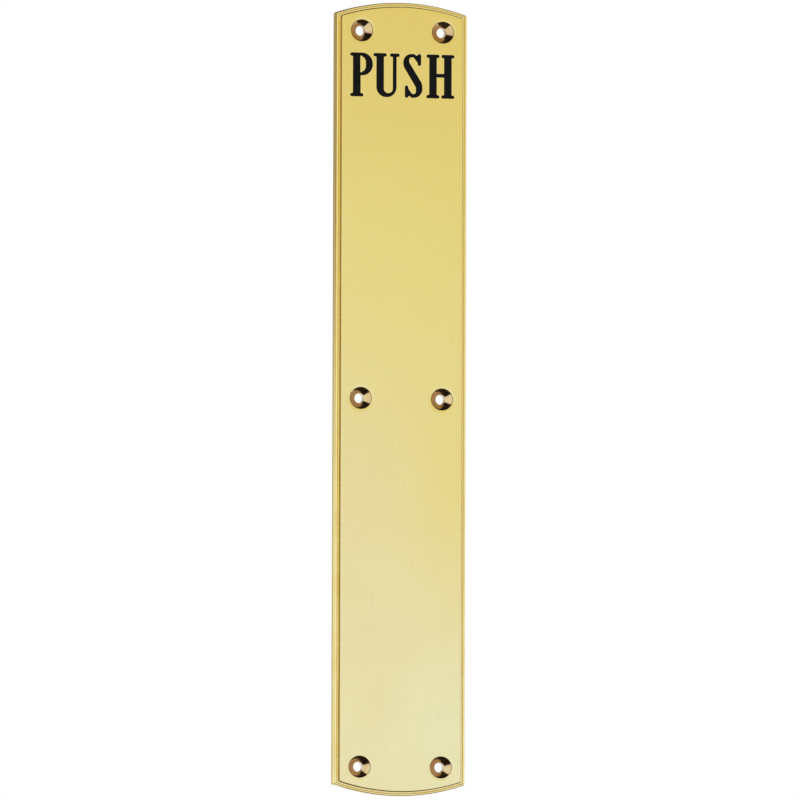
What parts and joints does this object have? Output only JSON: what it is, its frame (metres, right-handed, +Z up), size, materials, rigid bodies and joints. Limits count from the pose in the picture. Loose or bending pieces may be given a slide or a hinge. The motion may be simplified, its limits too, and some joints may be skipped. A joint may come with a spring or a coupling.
{
  "type": "door finger plate",
  "caption": "Tall flat brass push plate with straight sides, arched ends, a beaded rim round a raised face and countersunk screw holes for fixing to a door.",
  "frame": {"origin": "middle of the flat back, where it lies on the door", "axes": "+Z up the door along the plate's length, +Y into the door, so the face looks along -Y; +X to the right as the plate is read"},
  "size_m": [0.066, 0.006, 0.382],
  "materials": {
    "polished_brass": "polished, lightly lacquered",
    "letter_fill": "black enamel set in engraved letters"
  },
  "bodies": {
    "root": {"finger_plate": "polished_brass"}
  },
  "joints": []
}
